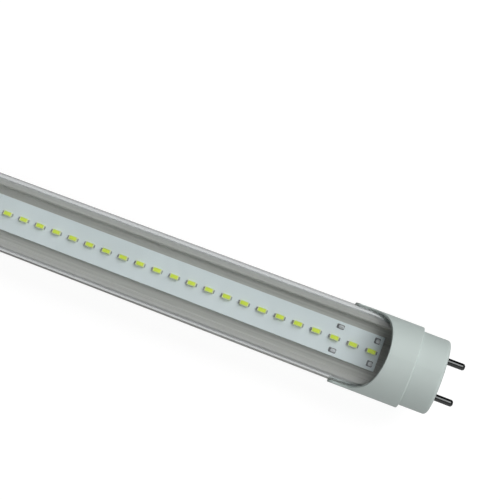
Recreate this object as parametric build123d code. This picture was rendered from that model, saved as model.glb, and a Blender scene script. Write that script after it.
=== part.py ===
from build123d import *
import math
import os

# Tubular LED lamp with a two-pin cap at each end, in millimetres.
# X runs along the tube, +Z is the side that shines and Y is parallel to the pins' line.
# The origin is the middle of the tube's axis.

# Overall sizes
FACE_X = 294.9          # middle of the tube to the outer face of a cap
PIN_REACH = 7.1         # pin beyond the cap's face
PIN_PITCH = 12.7        # centre to centre of the two pins of a cap
PIN_DIAMETER = 2.35
BODY_R = 13.5           # aluminium back and clear cover
COLLAR_R = 14.2         # end cap where it grips the tube
NOSE_R = 12.95          # end cap beyond the step

# Aluminium extrusion
TUBE_END_X = 283.0
CAVITY_R = 12.3
CAVITY_CORNER_R = 0.6
FLOOR_Z = 1.5           # floor of the channel that holds the LED board
FLOOR_THICK = 1.2
CHANNEL_HALF = 9.35
SHOULDER_Z = 2.6
SHOULDER_Y = 11.3
SHOULDER_EDGE_R = 0.3
GROOVE_Y = 10.6         # bottom of the groove under the shoulder's lip
LIP_Z = 1.9
JOINT_Z = 1.2           # ledge that the cover stands on
FIN_GROOVE_R = 0.45
FIN_STEP_DEG = 6.0
FIN_COUNT = 15

# Clear cover
COVER_GAP = 0.05
COVER_THICK = 1.2
HOOK_Y = 10.7
HOOK_Z = 1.8

# End cap
STEP_X = 285.2          # step between nose and collar
TONGUE_END = 24.4       # from the step to the end of the back tongue
COLLAR_FLARE = 0.15     # how much wider the collar is at the tongue's end
WINDOW_APEX = 9.0       # from the step to the middle of the front window's edge
WINDOW_DEPTH = 11.9     # length over which the window's edge curves back
WINDOW_HALF_DEG = 82.0  # from the middle of the window to its straight edges
WINDOW_CUT_DEG = 60.0   # direction in which each half of the window is cut
WINDOW_EDGE_R = 0.25
COLLAR_BORE_R = 13.55
NOSE_BORE_R = 11.4
FACE_THICK = 1.6
TONGUE_CORNER_R = 3.0
RIB_COUNT = 8
RIB_THICK = 1.0
RIB_REACH = 2.4         # along the nose, from the inside of the face
RIB_INNER_R = 9.4
BOSS_R = 2.6
BOSS_HEIGHT = 1.2
SCREW_X = 266.0
SCREW_DEG = 40.0        # from straight down, to each side
SCREW_R = 1.0
SCREW_HEAD_R = 1.75
SCREW_HEAD_HEIGHT = 0.7
SCREW_HEAD_TOP = COLLAR_R - 0.05
SCREW_LENGTH = 4.2
SCREW_TIP_LENGTH = 1.2
SCREW_PLAY = 0.05
CROSS_LENGTH = 1.9
CROSS_WIDTH = 0.4

# LED board
BOARD_HALF_LENGTH = 274.1
BOARD_WIDTH = 12.0
BOARD_THICK = 1.0
TAPE_THICK = 0.2
BOARD_TOP_Z = FLOOR_Z + TAPE_THICK + BOARD_THICK
LED_COUNT = 84
LAST_LED_X = 271.3
LED_PITCH = 2 * LAST_LED_X / (LED_COUNT - 1)
LED_LENGTH = 3.1
LED_WIDTH = 1.6
LED_HEIGHT = 0.8
PHOSPHOR_LENGTH = 2.7
PHOSPHOR_WIDTH = 1.3
PHOSPHOR_DEPTH = 0.45
TERMINAL_WIDTH = 1.2
END_PAD_SIDE = 2.0
END_PAD_Y = 4.0
TEST_PAD_LENGTH = 2.6
TEST_PAD_WIDTH = 1.6
TEST_PAD_Y = 4.2
PAD_SHIFT = 0.7         # from the LED beside a pad, towards the board's end
PAD_HEIGHT = 0.35

# Driver
DRIVER_X0 = 85.0
DRIVER_X1 = 255.0
DRIVER_WIDTH = 14.0
DRIVER_THICK = 0.8
DRIVER_TOP_Z = -8.4
SLEEVE_R = 12.0
SLEEVE_THICK = 0.25
SLEEVE_TOP_Z = -1.45
SLEEVE_OVERHANG = 2.0
LEAD_R = 0.3
LEAD_HOLE_R = 0.45
WIRE_R = 0.65
CONDUCTOR_R = 0.35
SUPPLY_WIRE_END_X = 251.5
OUTPUT_WIRE_START_X = 88.5
DRIVER_WIRE_Z = DRIVER_TOP_Z + WIRE_R + 0.1

# Parts on the driver board: X and Y of their middles
FUSE_PLACE = (243.0, 3.6)
FUSE_SIZE = (1.8, 9.0, 7.0)     # body radius, body length, middle to leg
VARISTOR_PLACE = (233.0, -2.6)
BRIDGE_PLACE = (221.0, 0.0)
INDUCTOR_PLACE = (208.0, 0.0)
FILM_PLACE = (195.0, 0.0)
CAN_PLACES = ((182.0, 0.0), (167.0, 0.0), (106.0, 0.0))
CAN_R = 3.0
CAN_LENGTH = 12.0
CAN_LIFT = 0.15
CHIP_PLACE = (153.0, 0.0)
TRANSFORMER_PLACE = (137.0, 0.0)
TRANSFORMER_MIDDLE_Z = 3.1
DIODE_PLACE = (122.0, 3.0)
DIODE_SIZE = (1.4, 5.2, 5.0)    # body radius, body length, middle to leg
RESISTOR_PLACES = ((248.5, -4.5), (227.0, 4.6), (214.5, -4.6), (201.5, 5.0), (160.0, 5.2), (158.0, -5.2),
                   (147.0, 5.0), (147.0, -5.0), (128.5, -5.4), (122.0, -4.0), (116.5, -4.0), (93.0, 0.0))
LEAD_PLACES = ((250.0, 3.6), (236.0, 3.6), (233.0, -5.1), (233.0, -0.1), (210.5, 0.0), (205.5, 0.0),
               (199.5, 0.0), (190.5, 0.0), (175.5, 1.2), (175.5, -1.2), (160.5, 1.2), (160.5, -1.2),
               (142.0, 4.0), (142.0, -4.0), (132.0, 4.0), (132.0, -4.0), (127.0, 3.0), (117.0, 3.0),
               (99.5, 1.2), (99.5, -1.2))

# Contact pins
PIN_ROOT_R = 1.0        # thinner part that sits in the cap
PIN_TIP_R = 0.8
PIN_BORE_R = 0.45
PIN_FLANGE_R = 1.8
PIN_FLANGE_THICK = 0.6
PIN_TAIL = 1.5
WASHER_R = 2.5
WASHER_THICK = 0.4


def along_x(sketch, x_start, x_end):
    """Extrude a sketch drawn in the YZ plane from x_start to x_end."""
    return extrude(Plane.YZ.offset(x_start) * sketch, amount=x_end - x_start)


def block(x0, x1, y0, y1, z0, z1):
    """A box between two corners."""
    centre = Pos((x0 + x1) / 2, (y0 + y1) / 2, (z0 + z1) / 2)
    return centre * Box(x1 - x0, y1 - y0, z1 - z0)


def rod_x(radius, x0, x1, y=0.0, z=0.0):
    """A round rod parallel to X."""
    return Pos((x0 + x1) / 2, y, z) * Rot(0, 90, 0) * Cylinder(radius, x1 - x0)


def half_plane(y0, y1, z0, z1):
    """A rectangle of the YZ plane between two corners."""
    return Pos((y0 + y1) / 2, (z0 + z1) / 2) * Rectangle(y1 - y0, z1 - z0)


def rounded_block(length, width, height, radius):
    """A box standing on z = 0 with its upright edges and its top edges rounded."""
    body = Pos(0, 0, height / 2) * Box(length, width, height)
    body = fillet(body.edges().filter_by(Axis.Z), radius)
    return fillet(body.faces().sort_by(Axis.Z)[-1].edges(), radius * 0.6)


def both_ends(shape):
    """The shape and its copy turned half round about Z, at the other end of the tube."""
    return [shape, Rot(0, 0, 180) * shape]


def screw_frames():
    """Places of the two screws of the +X cap: Z points out of the tube."""
    frames = []
    for side in (-1, 1):
        frames.append(Pos(SCREW_X, 0, 0) * Rot(180 + side * SCREW_DEG, 0, 0))
    return frames


# Tube body

def heat_sink():
    """Aluminium back: ribbed arc, board channel, shoulders with grooves and a driver cavity."""
    profile = Circle(BODY_R) & half_plane(-BODY_R, BODY_R, -BODY_R, JOINT_Z)
    cavity = Circle(CAVITY_R) & half_plane(-BODY_R, BODY_R, -BODY_R, FLOOR_Z - FLOOR_THICK)
    profile -= fillet(cavity.vertices(), CAVITY_CORNER_R)
    profile += half_plane(-GROOVE_Y, GROOVE_Y, FLOOR_Z - FLOOR_THICK, FLOOR_Z)
    for side in (-1, 1):
        web = sorted((side * CHANNEL_HALF, side * GROOVE_Y))
        lip = sorted((side * CHANNEL_HALF, side * SHOULDER_Y))
        profile += half_plane(*web, FLOOR_Z - FLOOR_THICK, LIP_Z + 0.1)
        lip_face = half_plane(*lip, LIP_Z, SHOULDER_Z)
        profile += fillet(lip_face.vertices().group_by(Axis.Y)[-1], SHOULDER_EDGE_R)
    for i in range(FIN_COUNT):
        angle = math.radians((i - (FIN_COUNT - 1) / 2) * FIN_STEP_DEG)
        groove = Circle(FIN_GROOVE_R)
        profile -= Pos(BODY_R * math.sin(angle), -BODY_R * math.cos(angle)) * groove
    body = along_x(profile, -TUBE_END_X, TUBE_END_X)
    for place in screw_frames():
        hole = place * Pos(0, 0, BODY_R) * Cylinder(SCREW_R + SCREW_PLAY, 6)
        for drill in both_ends(hole):
            body -= drill
    return body


def clear_cover():
    """Clear half-round cover that stands on the ledges and hooks under the shoulders."""
    foot_z = JOINT_Z + COVER_GAP
    above = half_plane(-BODY_R, BODY_R, foot_z, BODY_R)
    profile = (Circle(BODY_R) - Circle(BODY_R - COVER_THICK)) & above
    for side in (-1, 1):
        reach = sorted((side * HOOK_Y, side * (BODY_R - COVER_THICK + 0.1)))
        profile += half_plane(*reach, foot_z, HOOK_Z)
    return along_x(profile, -TUBE_END_X, TUBE_END_X)


# End caps

def cap_shell():
    """Turned outline of the +X cap: thin collar, step, nose and flat face."""
    collar_start = STEP_X - TONGUE_END
    start_r = COLLAR_R + COLLAR_FLARE
    outline = Polyline(
        (collar_start, COLLAR_BORE_R),
        (collar_start, start_r),
        (STEP_X, COLLAR_R),
        (STEP_X, NOSE_R),
        (FACE_X, NOSE_R - 0.05),
        (FACE_X, 0),
        (FACE_X - FACE_THICK, 0),
        (FACE_X - FACE_THICK, NOSE_BORE_R),
        (TUBE_END_X, NOSE_BORE_R),
        (TUBE_END_X, COLLAR_BORE_R),
        close=True,
    )
    face = make_face(Plane.XZ * outline)
    rounds = (
        (STEP_X, COLLAR_R, 0.4),
        (STEP_X, NOSE_R, 0.2),
        (FACE_X, NOSE_R - 0.05, 1.2),
        (FACE_X - FACE_THICK, NOSE_BORE_R, 0.8),
        (collar_start, start_r, 0.3),
    )
    for x, z, radius in rounds:
        corner = face.vertices().sort_by_distance((x, 0, z))[0]
        face = fillet(corner, radius)
    return revolve(face, Axis.X)


def collar_radius(x):
    """Outside radius of the collar at x."""
    return COLLAR_R + COLLAR_FLARE * (STEP_X - x) / TONGUE_END


def window_half():
    """The +Y half of the front window: an elliptical end that runs into a straight edge."""
    apex_x = STEP_X - WINDOW_APEX
    open_x = STEP_X - TONGUE_END - 5
    curve = []
    for step in range(13):
        turn = math.radians(90 * step / 12)
        angle = math.radians(WINDOW_HALF_DEG * math.sin(turn) - WINDOW_CUT_DEG)
        x = apex_x - WINDOW_DEPTH * (1 - math.cos(turn))
        curve.append((x, collar_radius(x) * math.sin(angle)))
    end_y = curve[-1][1]
    outline = [
        Spline(*curve, tangents=[(0, 1), (-1, 0)]),
        Line(curve[-1], (open_x, end_y)),
        Line((open_x, end_y), (open_x, -2 * COLLAR_R)),
        Line((open_x, -2 * COLLAR_R), (apex_x, -2 * COLLAR_R)),
        Line((apex_x, -2 * COLLAR_R), curve[0]),
    ]
    cut = math.radians(WINDOW_CUT_DEG)
    plane = Plane((0, 0, 0), x_dir=(1, 0, 0), z_dir=(0, math.sin(cut), math.cos(cut)))
    prism = extrude(plane * make_face(outline), amount=2 * COLLAR_R)
    return prism & block(open_x, STEP_X, 0, 2 * COLLAR_R, 0, 2 * COLLAR_R)


def window_cut():
    """The whole front window."""
    half = window_half()
    return half + mirror(half, Plane.XZ)


def tongue_corner_cut():
    """Rounds both upper corners of the back tongue, seen from the side."""
    x = STEP_X - TONGUE_END
    z = collar_radius(x) * math.cos(math.radians(WINDOW_HALF_DEG))
    r = TONGUE_CORNER_R
    corner = Pos(x + r / 2, z) * Rectangle(r, 2 * r)
    corner -= Pos(x + r, z - r) * Circle(r)
    return extrude(Plane.XZ.offset(-2 * COLLAR_R) * corner, amount=4 * COLLAR_R)


def lies_on_collar(edge):
    """True for an edge of the collar's outside that the window's cut has made."""
    for t in (0, 0.3, 0.5, 0.7, 1):
        point = edge @ t
        if abs(math.hypot(point.Y, point.Z) - collar_radius(point.X)) > 0.02:
            return False
    return (edge @ 0.5).X < STEP_X - WINDOW_APEX + 0.01 and edge.bounding_box().max.Z > 0


def end_cap():
    """Moulded cap of the +X end, with pin bosses, stiffening ribs and screw holes."""
    cap = cap_shell() - window_cut()
    cap = fillet(cap.edges().filter_by(lies_on_collar), WINDOW_EDGE_R) - tongue_corner_cut()
    inside = FACE_X - FACE_THICK
    for i in range(RIB_COUNT):
        rib = block(inside - RIB_REACH, inside + 0.2, -RIB_THICK / 2, RIB_THICK / 2,
                    RIB_INNER_R, NOSE_BORE_R + 0.3)
        cap += Rot((i + 0.5) * 360 / RIB_COUNT, 0, 0) * rib
    for side in (-1, 1):
        cap += rod_x(BOSS_R, inside - BOSS_HEIGHT, inside + 0.2, side * PIN_PITCH / 2)
    for side in (-1, 1):
        cap -= rod_x(PIN_ROOT_R, inside - 5, FACE_X + 1, side * PIN_PITCH / 2)
    for place in screw_frames():
        seat = Pos(0, 0, SCREW_HEAD_TOP - SCREW_HEAD_HEIGHT / 2)
        cap -= place * seat * Cone(SCREW_R + SCREW_PLAY, SCREW_HEAD_R + SCREW_PLAY, SCREW_HEAD_HEIGHT)
        cap -= place * Pos(0, 0, SCREW_HEAD_TOP + 1) * Cylinder(SCREW_HEAD_R + SCREW_PLAY, 2)
    return cap


def contact_pins():
    """The two hollow pins of the +X cap, with a riveted flange behind each boss."""
    boss_x = FACE_X - FACE_THICK - BOSS_HEIGHT - WASHER_THICK
    tail_x = boss_x - PIN_FLANGE_THICK - PIN_TAIL
    tip_x = FACE_X + PIN_REACH
    pin = rod_x(PIN_DIAMETER / 2, FACE_X, tip_x)
    pin = fillet(pin.edges().sort_by(Axis.X)[-1], PIN_TIP_R)
    pin += rod_x(PIN_ROOT_R, tail_x, FACE_X)
    pin += rod_x(PIN_FLANGE_R, boss_x - PIN_FLANGE_THICK, boss_x)
    pin -= rod_x(PIN_BORE_R, tail_x - 1, tip_x - 2.5)
    return [Pos(0, side * PIN_PITCH / 2, 0) * pin for side in (-1, 1)]


def pin_washers():
    """Washers between the bosses and the flanges of the +X pins."""
    x1 = FACE_X - FACE_THICK - BOSS_HEIGHT
    ring = rod_x(WASHER_R, x1 - WASHER_THICK, x1) - rod_x(PIN_ROOT_R, x1 - 2, x1 + 1)
    return [Pos(0, side * PIN_PITCH / 2, 0) * ring for side in (-1, 1)]


def pin_link():
    """Brass strip that joins the two pins of the far cap, on the washers' places."""
    x1 = FACE_X - FACE_THICK - BOSS_HEIGHT
    strip = along_x(SlotOverall(PIN_PITCH + 5, 4.4), x1 - WASHER_THICK, x1)
    for side in (-1, 1):
        strip -= rod_x(PIN_ROOT_R, x1 - 2, x1 + 1, side * PIN_PITCH / 2)
    return Rot(0, 0, 180) * strip


def cap_screws():
    """Countersunk self-tapping screws through each tongue into the extrusion."""
    shank_top = SCREW_HEAD_TOP - SCREW_HEAD_HEIGHT
    shank_length = SCREW_LENGTH - SCREW_HEAD_HEIGHT - SCREW_TIP_LENGTH
    head_z = SCREW_HEAD_TOP - SCREW_HEAD_HEIGHT / 2
    screw = Pos(0, 0, head_z) * Cone(SCREW_R, SCREW_HEAD_R, SCREW_HEAD_HEIGHT)
    screw += Pos(0, 0, shank_top - shank_length / 2) * Cylinder(SCREW_R, shank_length)
    tip_z = shank_top - shank_length - SCREW_TIP_LENGTH / 2
    screw += Pos(0, 0, tip_z) * Cone(0.2, SCREW_R, SCREW_TIP_LENGTH)
    for turn in (0, 90):
        cross = Box(CROSS_LENGTH, CROSS_WIDTH, SCREW_HEAD_HEIGHT)
        screw -= Pos(0, 0, SCREW_HEAD_TOP) * Rot(0, 0, turn) * cross
    screws = []
    for place in screw_frames():
        screws += both_ends(place * screw)
    return screws


# LED board

def led_board():
    """Metal-core circuit board that carries the LEDs."""
    return block(-BOARD_HALF_LENGTH, BOARD_HALF_LENGTH, -BOARD_WIDTH / 2, BOARD_WIDTH / 2,
                 FLOOR_Z + TAPE_THICK, BOARD_TOP_Z)


def thermal_tape():
    """Heat-conducting tape between the board and the channel's floor."""
    half_length = BOARD_HALF_LENGTH - 1
    half_width = BOARD_WIDTH / 2 - 0.2
    return block(-half_length, half_length, -half_width, half_width, FLOOR_Z, FLOOR_Z + TAPE_THICK)


def led_places():
    """X of every LED centre."""
    return [-LAST_LED_X + i * LED_PITCH for i in range(LED_COUNT)]


def led_package():
    """White LED housing with a rectangular well."""
    body = Pos(0, 0, LED_HEIGHT / 2) * Box(LED_LENGTH, LED_WIDTH, LED_HEIGHT)
    well_z = LED_HEIGHT - PHOSPHOR_DEPTH / 2
    return body - Pos(0, 0, well_z) * Box(PHOSPHOR_LENGTH, PHOSPHOR_WIDTH, PHOSPHOR_DEPTH)


def led_phosphor():
    """Phosphor fill of the well, a little below the rim."""
    depth = PHOSPHOR_DEPTH - 0.05
    z = LED_HEIGHT - PHOSPHOR_DEPTH + depth / 2
    return Pos(0, 0, z) * Box(PHOSPHOR_LENGTH, PHOSPHOR_WIDTH, depth)


def led_row(piece):
    """One copy of a piece at every LED."""
    return [Pos(x, 0, BOARD_TOP_Z) * piece for x in led_places()]


def led_terminals():
    """Soldered terminal at the -X end of every LED."""
    size = (0.85, TERMINAL_WIDTH, 0.4)
    wedge = Pos(-LED_LENGTH / 2 - size[0] / 2, 0, size[2] / 2) * Box(*size)
    outer = wedge.faces().sort_by(Axis.X)[0].edges().sort_by(Axis.Z)[-1]
    return led_row(fillet(outer, 0.3))


def led_rear_terminals():
    """Smaller soldered terminal at the +X end of every LED."""
    size = (0.45, TERMINAL_WIDTH, 0.3)
    wedge = Pos(LED_LENGTH / 2 + size[0] / 2, 0, size[2] / 2) * Box(*size)
    outer = wedge.faces().sort_by(Axis.X)[-1].edges().sort_by(Axis.Z)[-1]
    return led_row(fillet(outer, 0.2))


def four_places(shape, x, y):
    """Copies of a shape on the board at both ends and on both sides of the LEDs."""
    return [Pos(sx * x, sy * y, BOARD_TOP_Z) * shape for sx in (-1, 1) for sy in (-1, 1)]


def end_pads():
    """Square solder pads beside the last LED at each end; the far pair holds the wire ends."""
    pad = rounded_block(END_PAD_SIDE, END_PAD_SIDE, PAD_HEIGHT, 0.3)
    return four_places(pad, LAST_LED_X + PAD_SHIFT, END_PAD_Y)


def test_pads():
    """Oblong solder pads beside the third LED from each end."""
    pad = rounded_block(TEST_PAD_LENGTH, TEST_PAD_WIDTH, PAD_HEIGHT, 0.45)
    return four_places(pad, LAST_LED_X - 2 * LED_PITCH + PAD_SHIFT, TEST_PAD_Y)


# Driver: every part stands on the board's top face

def on_driver(place, shape):
    """Put a shape on the driver board."""
    return Pos(place[0], place[1], DRIVER_TOP_Z) * shape


def driver_board():
    """Driver circuit board with its lead holes."""
    board = block(DRIVER_X0, DRIVER_X1, -DRIVER_WIDTH / 2, DRIVER_WIDTH / 2,
                  DRIVER_TOP_Z - DRIVER_THICK, DRIVER_TOP_Z)
    for x, y in LEAD_PLACES:
        board -= Pos(x, y, DRIVER_TOP_Z) * Cylinder(LEAD_HOLE_R, 4)
    return board


def driver_sleeve():
    """Insulating film, D-shaped like the cavity, open at both ends."""
    def d_shape(radius, top):
        shape = Circle(radius) & half_plane(-radius, radius, -radius, top)
        return fillet(shape.vertices(), 1.0)

    inner = d_shape(SLEEVE_R - SLEEVE_THICK, SLEEVE_TOP_Z - SLEEVE_THICK)
    ring = d_shape(SLEEVE_R, SLEEVE_TOP_Z) - inner
    return along_x(ring, DRIVER_X0 - SLEEVE_OVERHANG, DRIVER_X1 + SLEEVE_OVERHANG)


def component_leads():
    """Straight stubs of the through-hole leads, from the board's top to below it."""
    stub_length = DRIVER_THICK + 1.2
    stub = Pos(0, 0, -stub_length / 2) * Cylinder(LEAD_R, stub_length)
    return [on_driver(place, stub) for place in LEAD_PLACES]


def solder_joints():
    """Solder cones around the leads under the driver board."""
    cone = Pos(0, 0, -DRIVER_THICK - 0.35) * Cone(0.4, 0.9, 0.7)
    cone -= Cylinder(LEAD_R, 6)
    return [on_driver(place, cone) for place in LEAD_PLACES]


def axial_part(size):
    """Body of an axial component that lies along X."""
    radius, length = size[:2]
    body = rod_x(radius, -length / 2, length / 2, 0, radius + 0.1)
    return fillet(body.edges().filter_by(GeomType.CIRCLE), radius * 0.3)


def fuse_resistor():
    """Fusible input resistor."""
    return on_driver(FUSE_PLACE, axial_part(FUSE_SIZE))


def axial_legs():
    """Bent legs of the fusible resistor and of the output diode."""
    legs = []
    for place, (radius, length, reach) in ((FUSE_PLACE, FUSE_SIZE), (DIODE_PLACE, DIODE_SIZE)):
        height = radius + 0.1
        for side in (-1, 1):
            start = (side * length / 2, 0, height)
            path = FilletPolyline(start, (side * reach, 0, height), (side * reach, 0, 0), radius=0.6)
            leg = sweep(Plane(start, z_dir=(side, 0, 0)) * Circle(LEAD_R), path=path)
            legs.append(on_driver(place, leg))
    return legs


def varistor():
    """Surge varistor, a disc bent down flat over the board."""
    disc = Pos(0, 0, 1.9) * Cylinder(3.6, 3.0)
    disc = fillet(disc.edges().filter_by(GeomType.CIRCLE), 1.0)
    return on_driver(VARISTOR_PLACE, disc)


def bridge_rectifier():
    """Bridge rectifier body with four tin feet."""
    body = Pos(0, 0, 1.35) * Box(3.9, 4.7, 2.3)
    body = chamfer(body.faces().sort_by(Axis.Z)[-1].edges(), 0.3)
    for x_side in (-1, 1):
        for y in (-1.3, 1.3):
            body += Pos(x_side * 2.4, y, 0.6) * Box(1.2, 0.7, 1.2)
    return on_driver(BRIDGE_PLACE, body)


def inductor_core():
    """Ferrite drum of the input filter."""
    outline = Polyline((0, 0), (3.2, 0), (3.2, 1.0), (1.5, 1.0), (1.5, 5.0), (3.2, 5.0), (3.2, 6.0), (0, 6.0),
                       close=True)
    return on_driver(INDUCTOR_PLACE, revolve(make_face(Plane.XZ * outline), Axis.Z))


def inductor_winding():
    """Copper winding between the drum's flanges."""
    coil = Pos(0, 0, 3.0) * (Cylinder(2.9, 3.9) - Cylinder(1.55, 5))
    return on_driver(INDUCTOR_PLACE, coil)


def film_capacitor():
    """Dipped film capacitor."""
    body = Pos(0, 0, 3.1) * Box(11, 4.8, 6.0)
    body = fillet(body.edges(), 1.4)
    return on_driver(FILM_PLACE, body)


def electrolytic(radius, length):
    """Lying electrolytic capacitor: aluminium can with a rolled groove."""
    can = rod_x(radius, -length / 2, length / 2, 0, radius)
    can = fillet(can.edges().filter_by(GeomType.CIRCLE), 0.4)
    groove = rod_x(radius + 1, length / 2 - 2.4, length / 2 - 1.8, 0, radius)
    groove -= rod_x(radius - 0.3, length / 2 - 3, length / 2, 0, radius)
    return can - groove


def film_jacket(radius, length):
    """Printed plastic film shrunk round an electrolytic can."""
    jacket = rod_x(radius + 0.12, -length / 2 + 0.6, length / 2 - 2.6, 0, radius)
    return jacket - rod_x(radius, -length, length, 0, radius)


def electrolytic_cans():
    """Smoothing capacitors of the input and the output."""
    can = Pos(0, 0, CAN_LIFT) * electrolytic(CAN_R, CAN_LENGTH)
    return [on_driver(place, can) for place in CAN_PLACES]


def capacitor_jackets():
    """Plastic jackets of the electrolytic capacitors."""
    jacket = Pos(0, 0, CAN_LIFT) * film_jacket(CAN_R, CAN_LENGTH)
    return [on_driver(place, jacket) for place in CAN_PLACES]


def driver_chip():
    """Eight-leg driver chip."""
    body = Pos(0, 0, 0.85) * Box(4.9, 3.9, 1.4)
    body = chamfer(body.faces().sort_by(Axis.Z)[-1].edges(), 0.25)
    for i in range(4):
        for side in (-1, 1):
            x = -1.905 + i * 1.27
            body += Pos(x, side * 2.4, 0.35) * Box(0.4, 1.2, 0.7)
    return on_driver(CHIP_PLACE, body)


def transformer_core():
    """Ferrite frame of the transformer: two outer limbs, two yokes and the centre limb."""
    frame = Box(12, 10, 4.6) - Box(8, 7, 5) + Box(9, 2.6, 4.6)
    return on_driver(TRANSFORMER_PLACE, Pos(0, 0, TRANSFORMER_MIDDLE_Z) * frame)


def transformer_winding():
    """Taped winding around the centre limb."""
    coil = Box(7.6, 6.4, 5.6) - Box(9, 2.6, 4.6)
    return on_driver(TRANSFORMER_PLACE, Pos(0, 0, TRANSFORMER_MIDDLE_Z) * coil)


def output_diode():
    """Axial output diode."""
    return on_driver(DIODE_PLACE, axial_part(DIODE_SIZE))


def chip_resistors():
    """Small surface-mounted resistors."""
    chip = Pos(0, 0, 0.28) * Box(2.0, 1.25, 0.55)
    return [on_driver(place, chip) for place in RESISTOR_PLACES]


# Wires

def supply_route(side):
    """From a supply pin's tail, down past the floor's end and back to the driver board."""
    tail_x = FACE_X - FACE_THICK - BOSS_HEIGHT - WASHER_THICK - PIN_FLANGE_THICK - PIN_TAIL
    points = (
        (tail_x, side * PIN_PITCH / 2, 0),
        (285.3, side * PIN_PITCH / 2, 0),
        (285.0, side * 5.0, -7.0),
        (268.0, side * 4.3, DRIVER_WIRE_Z + 0.4),
        (SUPPLY_WIRE_END_X, side * 4.6, DRIVER_WIRE_Z),
    )
    return FilletPolyline(*points, radius=(2.0, 2.6, 60.0))


def output_route(side):
    """From the driver's inner end along the cavity, round the floor's far end to the board's pads."""
    points = (
        (OUTPUT_WIRE_START_X, side * 4.0, DRIVER_WIRE_Z),
        (77.0, side * 3.8, DRIVER_WIRE_Z + 0.15),
        (50.0, side * 1.4, -11.2),
        (-250.0, side * 1.2, -11.2),
        (-286.2, side * 2.2, -10.2),
        (-286.6, side * 3.6, FLOOR_Z + 3.6),
        (-279.5, side * END_PAD_Y, FLOOR_Z + 2.3),
        (-274.6, side * END_PAD_Y, BOARD_TOP_Z + WIRE_R + 0.05),
    )
    return FilletPolyline(*points, radius=(20.0, 60.0, 80.0, 3.0, 2.4, 12.0))


def insulated_wire(route):
    """Round insulated wire along a route."""
    start = Plane(route @ 0, z_dir=route % 0)
    return sweep(start * Circle(WIRE_R), path=route)


def conductor_ends():
    """Bare tinned ends: in the supply pins, on the driver's pads and on the board's far pads."""
    ends = []
    for side in (-1, 1):
        for route, forward, back in ((supply_route(side), 1.6, 1.4), (output_route(side), 1.6, 1.6)):
            for at, sign, length in ((0, -1, forward), (1, 1, back)):
                tip = Plane(route @ at, z_dir=(route % at) * sign)
                ends.append(extrude(tip * Circle(CONDUCTOR_R), amount=length))
    return ends


def drill_out(shapes, tools):
    """Every shape with every tool's volume taken away."""
    result = []
    for shape in shapes:
        for tool in tools:
            shape = shape - tool
        result.append(shape)
    return result


def far_pad_ends():
    """End pads with the wires' bare ends sunk into them."""
    return drill_out(end_pads(), conductor_ends())


PIECES = {
    "heat_sink": [heat_sink()],
    "clear_cover": [clear_cover()],
    "led_board": [led_board()],
    "thermal_tape": [thermal_tape()],
    "led_packages": led_row(led_package()),
    "led_phosphors": led_row(led_phosphor()),
    "led_terminals": led_terminals(),
    "led_rear_terminals": led_rear_terminals(),
    "end_pads": far_pad_ends(),
    "test_pads": test_pads(),
    "end_cap_supply": [end_cap()],
    "end_cap_far": [Rot(0, 0, 180) * end_cap()],
    "supply_pins": contact_pins(),
    "far_pins": [Rot(0, 0, 180) * pin for pin in contact_pins()],
    "pin_washers": pin_washers(),
    "pin_link": [pin_link()],
    "cap_screws": cap_screws(),
    "driver_board": [driver_board()],
    "driver_sleeve": [driver_sleeve()],
    "component_leads": component_leads(),
    "axial_legs": axial_legs(),
    "solder_joints": solder_joints(),
    "fuse_resistor": [fuse_resistor()],
    "varistor": [varistor()],
    "bridge_rectifier": [bridge_rectifier()],
    "inductor_core": [inductor_core()],
    "inductor_winding": [inductor_winding()],
    "film_capacitor": [film_capacitor()],
    "electrolytic_cans": electrolytic_cans(),
    "capacitor_jackets": capacitor_jackets(),
    "driver_chip": [driver_chip()],
    "transformer_core": [transformer_core()],
    "transformer_winding": [transformer_winding()],
    "output_diode": [output_diode()],
    "chip_resistors": chip_resistors(),
    "live_wire": [insulated_wire(supply_route(1))],
    "neutral_wire": [insulated_wire(supply_route(-1))],
    "positive_wire": [insulated_wire(output_route(1))],
    "negative_wire": [insulated_wire(output_route(-1))],
    "conductor_ends": conductor_ends(),
}

os.makedirs("parts", exist_ok=True)
for name, solids in PIECES.items():
    shape = solids[0] if len(solids) == 1 else Compound(children=solids)
    export_step(shape, f"parts/{name}.step")
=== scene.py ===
import math

import bmesh
import bpy
from mathutils import Matrix, Vector
from mathutils.geometry import tessellate_polygon


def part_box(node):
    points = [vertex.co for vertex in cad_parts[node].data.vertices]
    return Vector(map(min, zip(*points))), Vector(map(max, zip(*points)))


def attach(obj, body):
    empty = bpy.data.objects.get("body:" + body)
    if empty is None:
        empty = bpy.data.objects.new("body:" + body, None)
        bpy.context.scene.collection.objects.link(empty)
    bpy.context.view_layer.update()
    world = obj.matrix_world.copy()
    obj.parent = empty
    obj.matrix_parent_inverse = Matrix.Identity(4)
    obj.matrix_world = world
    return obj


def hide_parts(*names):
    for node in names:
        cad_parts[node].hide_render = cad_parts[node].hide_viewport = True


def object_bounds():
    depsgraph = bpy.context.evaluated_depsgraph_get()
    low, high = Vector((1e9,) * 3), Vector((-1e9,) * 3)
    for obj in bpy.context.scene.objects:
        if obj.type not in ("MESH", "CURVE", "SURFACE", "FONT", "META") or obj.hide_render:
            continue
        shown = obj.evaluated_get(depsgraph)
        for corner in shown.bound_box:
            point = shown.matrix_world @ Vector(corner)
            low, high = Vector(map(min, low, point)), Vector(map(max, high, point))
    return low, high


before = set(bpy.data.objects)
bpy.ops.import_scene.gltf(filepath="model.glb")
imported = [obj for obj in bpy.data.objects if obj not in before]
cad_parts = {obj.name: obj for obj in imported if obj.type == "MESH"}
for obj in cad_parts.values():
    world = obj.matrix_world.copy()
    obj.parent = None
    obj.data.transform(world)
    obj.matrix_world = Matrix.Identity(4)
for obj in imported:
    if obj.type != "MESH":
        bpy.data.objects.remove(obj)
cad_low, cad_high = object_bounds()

MM = 0.001


# ---------------------------------------------------------------- sizes from the frame

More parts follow.
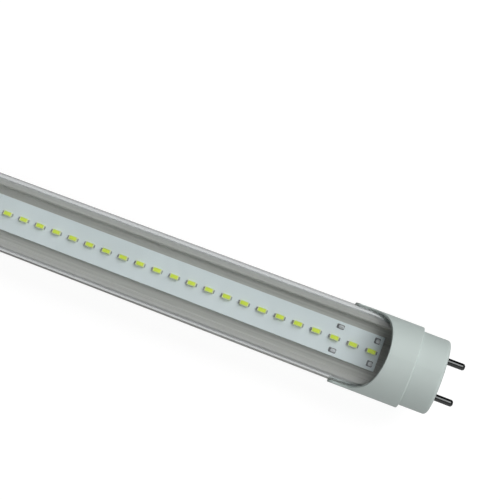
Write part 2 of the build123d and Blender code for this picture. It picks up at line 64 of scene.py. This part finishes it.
sink_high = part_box("heat_sink")[1]
cover_low, cover_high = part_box("clear_cover")
board_low, board_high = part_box("led_board")
packages_low, packages_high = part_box("led_packages")
end_pads_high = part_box("end_pads")[1]
test_pads_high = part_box("test_pads")[1]

BODY_R = sink_high.y
COVER_R = cover_high.z
TUBE_END = sink_high.x
BOARD_TOP = board_high.z


# ---------------------------------------------------------------- mesh helpers

MERGE_DISTANCE = 0.0001 * MM


def new_piece(name, shape, material, nodes, smooth_angle=40.0):
    """A mesh piece of (vertices, faces) that stands for CAD nodes and rides on the root body."""
    verts, faces = shape
    mesh = bpy.data.meshes.new(name)
    mesh.from_pydata(verts, [], faces)
    mesh.validate()
    piece = bpy.data.objects.new(name, mesh)
    bpy.context.scene.collection.objects.link(piece)
    mesh.materials.append(material)
    mesh.shade_smooth()
    mesh.set_sharp_from_angle(angle=math.radians(smooth_angle))
    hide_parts(*nodes)
    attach(piece, "root")
    return piece


def arc(radius, start_deg, end_deg, steps):
    """Points of an arc round the tube's axis in the YZ plane, both ends included."""
    points = []
    for i in range(steps + 1):
        a = math.radians(start_deg + (end_deg - start_deg) * i / steps)
        points.append((radius * math.cos(a), radius * math.sin(a)))
    return points


def rounded_outline(corners, steps=4):
    """A closed outline of (y, z, radius) corners, each eased by a curve about as wide as its radius."""
    outline = []
    count = len(corners)
    for i, (y, z, radius) in enumerate(corners):
        here = Vector((y, z))
        if radius <= 0:
            outline.append((y, z))
            continue
        before = Vector(corners[i - 1][:2]) - here
        after = Vector(corners[(i + 1) % count][:2]) - here
        half = before.angle(after) / 2
        cut = radius / math.tan(half)
        start = here + before.normalized() * cut
        end = here + after.normalized() * cut
        for k in range(steps + 1):
            t = k / steps
            outline.append(tuple((1 - t) ** 2 * start + 2 * t * (1 - t) * here + t ** 2 * end))
    return outline


def extruded(loops, x_start, x_end):
    """Outlines extruded along X: the first loop is the outside, and the rest are holes."""
    verts = []
    faces = []
    for x in (x_start, x_end):
        for loop in loops:
            verts += [(x, y, z) for y, z in loop]
    layer = sum(len(loop) for loop in loops)
    base = 0
    for loop in loops:
        n = len(loop)
        for i in range(n):
            j = (i + 1) % n
            faces.append((base + i, base + j, base + j + layer, base + i + layer))
        base += n
    caps = tessellate_polygon([[Vector((y, z, 0)) for y, z in loop] for loop in loops])
    faces += [tuple(reversed(tri)) for tri in caps]
    faces += [tuple(i + layer for i in tri) for tri in caps]
    return verts, faces


def fix_normals(piece):
    """Merge vertices that lie on each other and point every face outwards."""
    work = bmesh.new()
    work.from_mesh(piece.data)
    bmesh.ops.remove_doubles(work, verts=work.verts, dist=MERGE_DISTANCE)
    bmesh.ops.recalc_face_normals(work, faces=work.faces)
    work.to_mesh(piece.data)
    work.free()


# ---------------------------------------------------------------- materials

TONE_RANGE = (0.3, 0.7)         # noise levels between which a colour changes
VALUE_RANGE = (0.25, 0.75)      # noise levels between which a number changes

# Repeats per metre along X, Y and Z
BLOTCHES = (60, 60, 60)
DRAWN_LINES = (5, 2600, 2600)
DRAWN_PATCHES = (14, 160, 160)
COVER_LINES = (3, 900, 900)


def shader(name, colour, roughness, metallic=0.0, **sockets):
    """A Principled material: the material, its node tree and its shader node."""
    material = bpy.data.materials.new(name)
    material.use_nodes = True
    tree = material.node_tree
    bsdf = tree.nodes["Principled BSDF"]
    bsdf.inputs["Base Color"].default_value = (*colour, 1)
    bsdf.inputs["Roughness"].default_value = roughness
    bsdf.inputs["Metallic"].default_value = metallic
    for socket, value in sockets.items():
        bsdf.inputs[socket.replace("_", " ")].default_value = value
    return material, tree, bsdf


def coordinates(tree, scale):
    """Object coordinates stretched by a scale for each axis, in repeats per metre."""
    source = tree.nodes.new("ShaderNodeTexCoord")
    mapping = tree.nodes.new("ShaderNodeMapping")
    mapping.inputs["Scale"].default_value = scale
    tree.links.new(source.outputs["Object"], mapping.inputs["Vector"])
    return mapping.outputs["Vector"]


def noise(tree, scale, detail=3.0, rough=0.55):
    """A noise field over stretched object coordinates."""
    node = tree.nodes.new("ShaderNodeTexNoise")
    node.inputs["Scale"].default_value = 1.0
    node.inputs["Detail"].default_value = detail
    node.inputs["Roughness"].default_value = rough
    tree.links.new(coordinates(tree, scale), node.inputs["Vector"])
    return node.outputs["Fac"]


def mix_colour(tree, factor, dark, light):
    """A colour that runs from dark to light as factor crosses TONE_RANGE."""
    ramp = tree.nodes.new("ShaderNodeValToRGB")
    for element, position, colour in zip(ramp.color_ramp.elements, TONE_RANGE, (dark, light)):
        element.position = position
        element.color = (*colour, 1)
    tree.links.new(factor, ramp.inputs["Fac"])
    return ramp.outputs["Color"]


def map_value(tree, factor, low, high):
    """A number that runs from low to high as factor crosses VALUE_RANGE."""
    node = tree.nodes.new("ShaderNodeMapRange")
    node.inputs["From Min"].default_value = VALUE_RANGE[0]
    node.inputs["From Max"].default_value = VALUE_RANGE[1]
    node.inputs["To Min"].default_value = low
    node.inputs["To Max"].default_value = high
    tree.links.new(factor, node.inputs["Value"])
    return node.outputs["Result"]


def bump(tree, bsdf, height, strength, distance):
    """Drive the shader's normal with a height field."""
    node = tree.nodes.new("ShaderNodeBump")
    node.inputs["Strength"].default_value = strength
    node.inputs["Distance"].default_value = distance
    tree.links.new(height, node.inputs["Height"])
    tree.links.new(node.outputs["Normal"], bsdf.inputs["Normal"])


def scaled(colour, factor):
    """A lighter or darker colour, kept within 1."""
    return tuple(min(1.0, c * factor) for c in colour)


def varied(name, colour, roughness, metallic=0.0, grain=900.0, spread=0.06, relief=0.00002, **sockets):
    """A material with slight mottling of its colour and roughness and a fine grain."""
    material, tree, bsdf = shader(name, colour, roughness, metallic, **sockets)
    blotch = noise(tree, BLOTCHES, 4)
    tone = mix_colour(tree, blotch, scaled(colour, 1 - spread), scaled(colour, 1 + spread))
    tree.links.new(tone, bsdf.inputs["Base Color"])
    fine = noise(tree, (grain, grain, grain), 2)
    gloss = map_value(tree, fine, roughness * 0.88, min(1.0, roughness * 1.12))
    tree.links.new(gloss, bsdf.inputs["Roughness"])
    bump(tree, bsdf, fine, 0.25, relief)
    return material


def drawn(name, colour, roughness, metallic, spread=0.12, relief=0.00002):
    """Metal drawn through a die: fine lines that run along X."""
    material, tree, bsdf = shader(name, colour, roughness, metallic)
    lines = noise(tree, DRAWN_LINES, 5, 0.7)
    patches = noise(tree, DRAWN_PATCHES, 3)
    tone = mix_colour(tree, lines, scaled(colour, 1 - spread), scaled(colour, 1 + spread))
    tree.links.new(tone, bsdf.inputs["Base Color"])
    gloss = map_value(tree, patches, roughness * 0.85, roughness * 1.15)
    tree.links.new(gloss, bsdf.inputs["Roughness"])
    bump(tree, bsdf, lines, 0.35, relief)
    return material


def clear_plastic():
    """Clear polycarbonate with faint lines along X, which lets the lamps light what is behind it."""
    material, tree, bsdf = shader("clear_polycarbonate", (0.955, 0.985, 1.0), 0.03,
                                  Transmission_Weight=1.0, IOR=1.5)
    lines = noise(tree, COVER_LINES, 3)
    tree.links.new(map_value(tree, lines, 0.01, 0.06), bsdf.inputs["Roughness"])
    bump(tree, bsdf, lines, 0.02, 0.00001)
    clear = tree.nodes.new("ShaderNodeBsdfTransparent")
    clear.inputs["Color"].default_value = (0.985, 0.99, 0.99, 1)
    path = tree.nodes.new("ShaderNodeLightPath")
    mix = tree.nodes.new("ShaderNodeMixShader")
    output = tree.nodes["Material Output"]
    tree.links.new(path.outputs["Is Shadow Ray"], mix.inputs["Fac"])
    tree.links.new(bsdf.outputs["BSDF"], mix.inputs[1])
    tree.links.new(clear.outputs["BSDF"], mix.inputs[2])
    tree.links.new(mix.outputs["Shader"], output.inputs["Surface"])
    return material


ALUMINIUM = drawn("extruded_aluminium", (0.61, 0.605, 0.56), 0.42, 0.4, spread=0.2)
COVER = clear_plastic()
CAP = varied("moulded_cap", (0.437, 0.494, 0.476), 0.45, grain=1500.0, spread=0.025, relief=0.00003)
BOARD = varied("solder_mask", (0.88, 0.95, 0.95), 0.42, grain=700.0, spread=0.03)
HOUSING = varied("led_housing", (0.88, 0.93, 0.55), 0.5)
# Painted glow: the phosphor has a faint emission that brightens the LEDs, which are not lit.
PHOSPHOR = varied("phosphor", (0.80, 0.95, 0.10), 0.45, spread=0.05,
                  Emission_Color=(0.72, 0.90, 0.06, 1), Emission_Strength=0.10)
SOLDER = varied("solder", (0.80, 0.81, 0.82), 0.3, 0.35, spread=0.12)
# Painted shade: the land is dark grey to stand for the shade round each pad's solder mound.
SHADED_LAND = varied("land_painted_shade", (0.27, 0.275, 0.28), 0.4, 0.4, spread=0.15)
TERMINAL = varied("led_terminal", (0.42, 0.425, 0.43), 0.4, 0.4, spread=0.15)
NICKEL = varied("nickel", (0.13, 0.135, 0.135), 0.14, 1.0, spread=0.08, relief=0.000002)
BRASS = varied("brass", (0.72, 0.55, 0.25), 0.32, 1.0)
STEEL = varied("zinc_steel", (0.55, 0.56, 0.57), 0.32, 1.0)
COPPER = varied("copper_wire", (0.66, 0.30, 0.12), 0.35, 1.0)
FERRITE = varied("ferrite", (0.05, 0.05, 0.055), 0.6)
LAMINATE = varied("driver_laminate", (0.55, 0.40, 0.16), 0.45)
FILM = varied("insulating_film", (0.80, 0.80, 0.76), 0.3)
TAPE = varied("thermal_tape", (0.60, 0.62, 0.65), 0.8)
CAN = drawn("can_aluminium", (0.62, 0.63, 0.64), 0.3, 1.0)


def plastic(name, colour, roughness=0.4):
    """A plain coloured plastic or epoxy of a small inner part."""
    return varied(name, colour, roughness, spread=0.1)


NODE_MATERIALS = {
    "end_cap_supply": CAP,
    "end_cap_far": CAP,
    "supply_pins": NICKEL,
    "far_pins": NICKEL,
    "pin_washers": BRASS,
    "pin_link": BRASS,
    "cap_screws": STEEL,
    "thermal_tape": TAPE,
    "driver_board": LAMINATE,
    "driver_sleeve": FILM,
    "component_leads": SOLDER,
    "axial_legs": SOLDER,
    "solder_joints": SOLDER,
    "conductor_ends": SOLDER,
    "inductor_core": FERRITE,
    "transformer_core": FERRITE,
    "inductor_winding": COPPER,
    "electrolytic_cans": CAN,
    "capacitor_jackets": plastic("jacket_film", (0.02, 0.04, 0.10)),
    "transformer_winding": plastic("yellow_tape", (0.75, 0.52, 0.05)),
    "fuse_resistor": plastic("green_epoxy", (0.09, 0.22, 0.13)),
    "varistor": plastic("blue_epoxy", (0.03, 0.09, 0.35)),
    "film_capacitor": plastic("red_epoxy", (0.35, 0.04, 0.02)),
    "bridge_rectifier": plastic("rectifier_epoxy", (0.02, 0.02, 0.022), 0.55),
    "driver_chip": plastic("chip_epoxy", (0.025, 0.025, 0.027), 0.55),
    "output_diode": plastic("diode_epoxy", (0.02, 0.02, 0.022), 0.5),
    "chip_resistors": plastic("resistor_ceramic", (0.04, 0.04, 0.045), 0.5),
    "live_wire": plastic("brown_pvc", (0.14, 0.05, 0.02)),
    "neutral_wire": plastic("blue_pvc", (0.02, 0.08, 0.36)),
    "positive_wire": plastic("red_pvc", (0.50, 0.02, 0.015)),
    "negative_wire": plastic("black_pvc", (0.015, 0.015, 0.016)),
}


def dress_nodes():
    """Give every carried-over CAD node its material."""
    for name, material in NODE_MATERIALS.items():
        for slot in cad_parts[name].material_slots:
            slot.material = material


# ---------------------------------------------------------------- tube body

FLOOR_Z = 1.5 * MM              # floor of the channel that holds the LED board
FLOOR_THICK = 1.2 * MM
CHANNEL_HALF = 9.35 * MM
SHOULDER_Y = 11.3 * MM
UNDERCUT_Y = 10.6 * MM          # bottom of the groove under the shoulder's lip
LIP_Z = 1.9 * MM
JOINT_Z = 1.2 * MM              # ledge that the cover stands on
CAVITY_R = 12.3 * MM
SHOULDER_Z = sink_high.z
GROOVE_R = 0.45 * MM            # half width of a groove in the back, and its depth
GROOVE_STEP = 6.0               # degrees from groove to groove
GROOVE_COUNT = 15
# Points across a groove and just outside it, in shares of its half width from its middle
GROOVE_POINTS = (-1.25, -1.05, -0.95, -0.8, -0.55, -0.25, 0, 0.25, 0.55, 0.8, 0.95, 1.05, 1.25)
GROOVE_CLEAR = 1.3              # a groove's own points replace the arc's this far out
BACK_STEPS = 60
CAVITY_STEPS = 72
CAVITY_CORNER = 0.5 * MM        # chamfer between the cavity's wall and its ceiling
CAVITY_CORNER_DEG = 2.5
BODY_SMOOTH_DEG = 35


def back_arc():
    """The grooved outside of the extrusion, from the +Y joint round the bottom to the -Y one."""
    joint = math.degrees(math.asin(JOINT_Z / BODY_R))
    end_deg = 180 + 2 * joint
    half = math.degrees(GROOVE_R / BODY_R)
    first = 90 + joint - (GROOVE_COUNT - 1) / 2 * GROOVE_STEP
    middles = [first + k * GROOVE_STEP for k in range(GROOVE_COUNT)]
    angles = [end_deg * i / BACK_STEPS for i in range(BACK_STEPS + 1)]
    for middle in middles:
        angles = [a for a in angles if abs(a - middle) > half * GROOVE_CLEAR]
        angles += [middle + half * share for share in GROOVE_POINTS]
    points = []
    for a in sorted(angles):
        depth = 0.0
        for middle in middles:
            share = (a - middle) / half
            if abs(share) < 1:
                depth = GROOVE_R * math.sqrt(1 - share * share)
        around = math.radians(joint - a)
        points.append(((BODY_R - depth) * math.cos(around), (BODY_R - depth) * math.sin(around)))
    return points


def shoulder_side(side):
    """Corners of the shoulder on side 1 or -1, from the cover's ledge over the lip to the channel's floor."""
    corners = [
        (UNDERCUT_Y, JOINT_Z, 0.1 * MM),
        (UNDERCUT_Y, LIP_Z, 0.1 * MM),
        (SHOULDER_Y, LIP_Z, 0.12 * MM),
        (SHOULDER_Y, SHOULDER_Z, 0.3 * MM),
        (CHANNEL_HALF, SHOULDER_Z, 0.25 * MM),
        (CHANNEL_HALF, FLOOR_Z, 0.25 * MM),
    ]
    return [(side * y, z, r) for y, z, r in corners]


def heat_sink():
    """Extruded aluminium back with its channel, shoulders, grooves and cavity."""
    back = [(y, z, 0) for y, z in back_arc()]
    shoulders = shoulder_side(-1) + list(reversed(shoulder_side(1)))
    outside = rounded_outline(back + shoulders)
    ceiling = FLOOR_Z - FLOOR_THICK
    corner_y = CAVITY_R - CAVITY_CORNER
    wall = math.degrees(math.asin(ceiling / CAVITY_R)) - CAVITY_CORNER_DEG
    cavity = [(corner_y, ceiling)]
    cavity += arc(CAVITY_R, wall, -180 - wall, CAVITY_STEPS)
    cavity += [(-corner_y, ceiling)]
    shape = extruded([outside, cavity], -TUBE_END, TUBE_END)
    piece = new_piece("heat_sink_extrusion", shape, ALUMINIUM, ["heat_sink"], BODY_SMOOTH_DEG)
    fix_normals(piece)


COVER_THICK = 1.2 * MM
COVER_STEPS = (120, 112)        # along the outer and the inner arc
HOOK_Y = 10.7 * MM              # inner edge of the hook
HOOK_Z = 1.8 * MM               # top of the hook


def clear_cover():
    """Clear half-round shell with an inward hook along each foot."""
    foot = cover_low.z
    outer_start = math.degrees(math.asin(foot / COVER_R))
    inner_r = COVER_R - COVER_THICK
    inner_start = math.degrees(math.asin(HOOK_Z / inner_r))
    outline = arc(COVER_R, outer_start, 180 - outer_start, COVER_STEPS[0])
    outline += [(-HOOK_Y, foot), (-HOOK_Y, HOOK_Z)]
    outline += arc(inner_r, 180 - inner_start, inner_start, COVER_STEPS[1])
    outline += [(HOOK_Y, HOOK_Z), (HOOK_Y, foot)]
    shape = extruded([outline], -TUBE_END, TUBE_END)
    piece = new_piece("cover_shell", shape, COVER, ["clear_cover"], BODY_SMOOTH_DEG)
    fix_normals(piece)


# ---------------------------------------------------------------- LED board

CORNER_STEPS = 3
SHARPEST_CORNER = 0.02 * MM
LED_COUNT = 84
LED_SIZE = (3.1 * MM, 1.6 * MM, 0.8 * MM)
LED_CORNER = 0.12 * MM
LED_EDGE = 0.06 * MM
WELL_SIZE = (2.7 * MM, 1.3 * MM)
WELL_CORNER = 0.25 * MM
WELL_FLOOR = 0.35 * MM          # above the board
WELL_FLOOR_SHARE = 0.9          # of the well's size at its rim
FILL_BASE = 0.36 * MM           # above the board
FILL_SIZE = (2.56 * MM, 1.18 * MM, 0.40 * MM)
FILL_EDGE = 0.05 * MM
BOARD_CORNER = 0.15 * MM
BOARD_EDGE = 0.06 * MM
BOARD_SMOOTH_DEG = 50
FRONT_TERMINAL = (0.6 * MM, 1.2 * MM, 0.4 * MM)
REAR_TERMINAL = (0.45 * MM, 1.2 * MM, 0.3 * MM)
TERMINAL_CORNER = 0.15 * MM


def rounded_ring(centre, size, corner, inset, z):
    """Points round a rectangle with rounded corners, inset from its size and raised by z."""
    points = []
    half_x = size[0] / 2 - inset
    half_y = size[1] / 2 - inset
    radius = max(corner - inset, SHARPEST_CORNER)
    for k, (side_x, side_y) in enumerate(((1, 1), (-1, 1), (-1, -1), (1, -1))):
        for i in range(CORNER_STEPS + 1):
            a = math.radians(90 * k + 90 * i / CORNER_STEPS)
            x = centre[0] + side_x * (half_x - radius) + radius * math.cos(a)
            y = centre[1] + side_y * (half_y - radius) + radius * math.sin(a)
            points.append((x, y, centre[2] + z))
    return points


def rounded_slab(centre, size, corner, edge):
    """A slab on its base with rounded upright corners and top edge; its last two faces are top and base."""
    rings = [rounded_ring(centre, size, corner, 0, z) for z in (0, size[2] - edge)]
    for i in range(1, CORNER_STEPS + 1):
        a = math.radians(90 * i / CORNER_STEPS)
        inset = edge * (1 - math.cos(a))
        rings.append(rounded_ring(centre, size, corner, inset, size[2] - edge + edge * math.sin(a)))
    verts = [point for ring in rings for point in ring]
    n = len(rings[0])
    faces = []
    for low in range(0, len(verts) - n, n):
        for i in range(n):
            j = (i + 1) % n
            faces.append((low + i, low + j, low + n + j, low + n + i))
    faces.append(tuple(range(len(verts) - n, len(verts))))
    faces.append(tuple(reversed(range(n))))
    return verts, faces


def joined(shapes):
    """One shape from several, each of them (vertices, faces)."""
    verts = []
    faces = []
    for more_verts, more_faces in shapes:
        base = len(verts)
        verts += more_verts
        faces += [tuple(i + base for i in face) for face in more_faces]
    return verts, faces


def led_places():
    """X of every LED centre."""
    last = (packages_high.x - packages_low.x) / 2 - LED_SIZE[0] / 2
    return [-last + 2 * last * i / (LED_COUNT - 1) for i in range(LED_COUNT)]


def led_board():
    """The board's panel with its edges eased."""
    shape = rounded_slab((0, 0, board_low.z), board_high - board_low, BOARD_CORNER, BOARD_EDGE)
    new_piece("led_board_panel", shape, BOARD, ["led_board"], BOARD_SMOOTH_DEG)


def led_frame(x):
    """A housing that is an open frame round a shallow well: a slab whose top face becomes the well."""
    centre = (x, 0, BOARD_TOP)
    verts, faces = rounded_slab(centre, LED_SIZE, LED_CORNER, LED_EDGE)
    top = faces.pop(-2)
    n = len(top)
    rim = len(verts)
    floor = rim + n
    for z, share in ((LED_SIZE[2], 1.0), (WELL_FLOOR, WELL_FLOOR_SHARE)):
        size = (WELL_SIZE[0] * share, WELL_SIZE[1] * share)
        verts += rounded_ring(centre, size, WELL_CORNER, 0, z)
    for i in range(n):
        j = (i + 1) % n
        faces.append((top[i], top[j], rim + j, rim + i))
        faces.append((rim + i, rim + j, floor + j, floor + i))
    faces.append(tuple(range(floor, floor + n)))
    return verts, faces


def led_frames():
    """The row of LED housings."""
    shape = joined([led_frame(x) for x in led_places()])
    new_piece("led_frames", shape, HOUSING, ["led_packages"])


def squircle(a, power):
    """A point at angle a of an outline between a circle (power 2) and a square, of half size 1."""
    return [math.copysign(abs(part) ** (2 / power), part) for part in (math.cos(a), math.sin(a))]


def dome(centre, size, height):
    """A low dome on a rounded base."""
    outline = [squircle(2 * math.pi * i / DOME_STEPS, DOME_POWER) for i in range(DOME_STEPS)]
    verts = []
    for k in range(DOME_RINGS):
        a = math.radians(90 * k / DOME_RINGS)
        level = math.sin(a)
        shrink = math.sqrt(1 - level * level)
        for x, y in outline:
            verts.append((centre[0] + size[0] / 2 * x * shrink,
                          centre[1] + size[1] / 2 * y * shrink,
                          centre[2] + height * level))
    faces = []
    for low in range(0, len(verts) - DOME_STEPS, DOME_STEPS):
        for i in range(DOME_STEPS):
            j = (i + 1) % DOME_STEPS
            faces.append((low + i, low + j, low + DOME_STEPS + j, low + DOME_STEPS + i))
    last = len(verts) - DOME_STEPS
    top = len(verts)
    verts.append((centre[0], centre[1], centre[2] + height))
    for i in range(DOME_STEPS):
        faces.append((last + i, last + (i + 1) % DOME_STEPS, top))
    faces.append(tuple(reversed(range(DOME_STEPS))))
    return verts, faces


def led_phosphors():
    """The phosphor fills, which stand clear in the housings' wells and carry a faint painted glow."""
    shape = joined([rounded_slab((x, 0, BOARD_TOP + FILL_BASE), FILL_SIZE, WELL_CORNER, FILL_EDGE)
                    for x in led_places()])
    new_piece("phosphor_fills", shape, PHOSPHOR, ["led_phosphors"])


def led_terminals():
    """Soldered terminals on both sides of every LED."""
    for name, node, side, size in (
        ("front_terminals", "led_terminals", -1, FRONT_TERMINAL),
        ("rear_terminals", "led_rear_terminals", 1, REAR_TERMINAL),
    ):
        offset = side * (LED_SIZE[0] + size[0]) / 2
        shape = joined([rounded_slab((x + offset, 0, BOARD_TOP), size, TERMINAL_CORNER, TERMINAL_CORNER)
                        for x in led_places()])
        new_piece(name, shape, TERMINAL, [node])


END_PAD_SIZE = (2.0 * MM, 2.0 * MM)
TEST_PAD_SIZE = (2.6 * MM, 1.6 * MM)
LAND_HEIGHT = 0.06 * MM
LAND_CORNER = 0.3 * MM
LAND_EDGE = 0.03 * MM
MOUND_SHARE = 0.70              # of the land's size
MOUND_SHIFT = 0.28 * MM         # along X from the land's middle, towards +X, so the bright solder sits as a painted highlight on the lit side and the dark land shows as painted shade on the other
DOME_RINGS = 5
DOME_STEPS = 24
DOME_POWER = 3.2


def solder_pads():
    """A tinned land painted dark grey as shade, with a bright mound of solder set off towards +X as a painted
    highlight, for each square end pad and oblong test pad.
    """
    for name, node, high, size in (
        ("end_pad", "end_pads", end_pads_high, END_PAD_SIZE),
        ("test_pad", "test_pads", test_pads_high, TEST_PAD_SIZE),
    ):
        mound_size = (size[0] * MOUND_SHARE, size[1] * MOUND_SHARE)
        mound_height = high.z - BOARD_TOP - LAND_HEIGHT
        lands = []
        mounds = []
        for side_x in (-1, 1):
            for side_y in (-1, 1):
                x = side_x * (high.x - size[0] / 2)
                y = side_y * (high.y - size[1] / 2)
                lands.append(rounded_slab((x, y, BOARD_TOP), (*size, LAND_HEIGHT), LAND_CORNER, LAND_EDGE))
                mounds.append(dome((x + MOUND_SHIFT, y, BOARD_TOP + LAND_HEIGHT), mound_size, mound_height))
        new_piece(name + "_lands", joined(lands), SHADED_LAND, [node])
        new_piece(name + "_solder", joined(mounds), SOLDER, [])


# ---------------------------------------------------------------- stage, light, camera

FLOOR_GAP = 0.5 * MM
FLOOR_HALF = 4.0
FLOOR_GREY = (0.2, 0.2, 0.2)
FLOOR_GLOW = 0.85               # as seen straight
FLOOR_GLOW_WEAKER = 0.5         # for all other light
BACKDROP = (0.93, 0.93, 0.93, 1)
AMBIENT_COLOUR = (1.0, 1.0, 0.995, 1)
AMBIENT_LOW = 0.0
AMBIENT_HIGH = 0.5
LIGHTEST_SIDE = (0, -0.8, -0.6)     # direction that AMBIENT_HIGH comes from

# Lamps: direction from LAMP_CENTRE, size along and across the tube, and radiance
LAMP_CENTRE = Vector((0.2, 0, 0))
LAMP_DISTANCE = 1.2
KEY = ((0.5, 0.71, 0.71), (1.1, 1.1), 4.2)
FILL = ((0.35, -0.5, 0.87), (1.1, 1.1), 1.95)
STRIP = ((0.204, 0.29, 0.94), (0.16, 0.9), 2.4)


def seen_straight(tree):
    """1 for what is seen directly or straight through the clear cover, 0 for reflected and bounced light."""
    path = tree.nodes.new("ShaderNodeLightPath")
    steps = []
    for operation, first, second in (
        ("ADD", path.outputs["Diffuse Depth"], path.outputs["Glossy Depth"]),
        ("LESS_THAN", None, 0.5),
        ("MULTIPLY", None, path.outputs["Is Transmission Ray"]),
        ("MAXIMUM", None, path.outputs["Is Camera Ray"]),
    ):
        node = tree.nodes.new("ShaderNodeMath")
        node.operation = operation
        tree.links.new(first or steps[-1].outputs["Value"], node.inputs[0])
        if isinstance(second, float):
            node.inputs[1].default_value = second
        else:
            tree.links.new(second, node.inputs[1])
        steps.append(node)
    return steps[-1].outputs["Value"]


def stage_floor():
    """A plain pale floor just under the tube, of which only the weaker glow reaches the tube."""
    z = cad_low.z - FLOOR_GAP
    corners = [(x * FLOOR_HALF, y * FLOOR_HALF, z) for x, y in ((-1, -1), (1, -1), (1, 1), (-1, 1))]
    mesh = bpy.data.meshes.new("floor")
    mesh.from_pydata(corners, [], [(0, 1, 2, 3)])
    floor = bpy.data.objects.new("floor", mesh)
    bpy.context.scene.collection.objects.link(floor)
    floor.visible_diffuse = False
    floor.visible_glossy = False
    paper = varied("pale_floor", FLOOR_GREY, 0.9, grain=200.0, spread=0.005, Emission_Color=(1, 1, 1, 1))
    tree = paper.node_tree
    glow = tree.nodes.new("ShaderNodeMapRange")
    glow.inputs["To Min"].default_value = FLOOR_GLOW_WEAKER
    glow.inputs["To Max"].default_value = FLOOR_GLOW
    tree.links.new(seen_straight(tree), glow.inputs["Value"])
    tree.links.new(glow.outputs["Result"], tree.nodes["Principled BSDF"].inputs["Emission Strength"])
    mesh.materials.append(paper)


def soft_box(name, direction, size, radiance):
    """An area lamp that faces LAMP_CENTRE and isn't seen through the clear cover."""
    data = bpy.data.lights.new(name, "AREA")
    data.shape = "RECTANGLE"
    data.size, data.size_y = size
    data.energy = radiance * math.pi * size[0] * size[1]
    lamp = bpy.data.objects.new(name, data)
    towards = Vector(direction).normalized()
    lamp.location = LAMP_CENTRE + towards * LAMP_DISTANCE
    across = Vector((1, 0, 0)).cross(towards).normalized()
    along = across.cross(towards)
    lamp.rotation_euler = Matrix((along, across, towards)).transposed().to_euler()
    lamp.visible_transmission = False
    bpy.context.scene.collection.objects.link(lamp)
    return lamp


def surroundings():
    """Dim light from all round, least from above +Y and most from below -Y, and a pale backdrop."""
    world = bpy.data.worlds.new("studio")
    bpy.context.scene.world = world
    world.use_nodes = True
    tree = world.node_tree
    source = tree.nodes.new("ShaderNodeTexCoord")
    along = tree.nodes.new("ShaderNodeVectorMath")
    along.operation = "DOT_PRODUCT"
    along.inputs[1].default_value = LIGHTEST_SIDE
    level = tree.nodes.new("ShaderNodeMapRange")
    level.inputs["From Min"].default_value = -1
    level.inputs["From Max"].default_value = 1
    level.inputs["To Min"].default_value = AMBIENT_LOW
    level.inputs["To Max"].default_value = AMBIENT_HIGH
    tree.links.new(source.outputs["Generated"], along.inputs[0])
    tree.links.new(along.outputs["Value"], level.inputs["Value"])
    surround = tree.nodes["Background"]
    surround.inputs["Color"].default_value = AMBIENT_COLOUR
    tree.links.new(level.outputs["Result"], surround.inputs["Strength"])
    backdrop = tree.nodes.new("ShaderNodeBackground")
    backdrop.inputs["Color"].default_value = BACKDROP
    mix = tree.nodes.new("ShaderNodeMixShader")
    tree.links.new(seen_straight(tree), mix.inputs["Fac"])
    tree.links.new(surround.outputs["Background"], mix.inputs[1])
    tree.links.new(backdrop.outputs["Background"], mix.inputs[2])
    tree.links.new(mix.outputs["Shader"], tree.nodes["World Output"].inputs["Surface"])


def studio():
    """Two large soft boxes for the shading, and a narrow one that shows only in reflections."""
    surroundings()
    soft_box("key", *KEY).visible_glossy = False
    soft_box("fill", *FILL).visible_glossy = False
    soft_box("strip", *STRIP).visible_diffuse = False
    bpy.context.scene.view_settings.view_transform = "Standard"


CAMERA_PLACE = Vector((0.2622, -0.0341, 0.2739))
CAMERA_FORWARD = Vector((-0.1496, 0.1873, -0.9709))
CAMERA_UP = Vector((-0.3415, 0.9117, 0.2285))
LENS_MM = 57.8
SENSOR_MM = 36
NEAREST_SEEN = 0.01


def photograph_camera():
    """Camera almost straight above the supply end, turned so that the tube runs down to the right."""
    data = bpy.data.cameras.new("camera")
    data.lens = LENS_MM
    data.sensor_width = SENSOR_MM
    data.clip_start = NEAREST_SEEN
    camera = bpy.data.objects.new("camera", data)
    back = -CAMERA_FORWARD.normalized()
    right = CAMERA_UP.cross(back).normalized()
    up = back.cross(right)
    camera.rotation_euler = Matrix((right, up, back)).transposed().to_euler()
    camera.location = CAMERA_PLACE
    bpy.context.scene.collection.objects.link(camera)
    bpy.context.scene.camera = camera


dress_nodes()
heat_sink()
clear_cover()
led_board()
led_frames()
led_phosphors()
led_terminals()
solder_pads()
stage_floor()
studio()
photograph_camera()
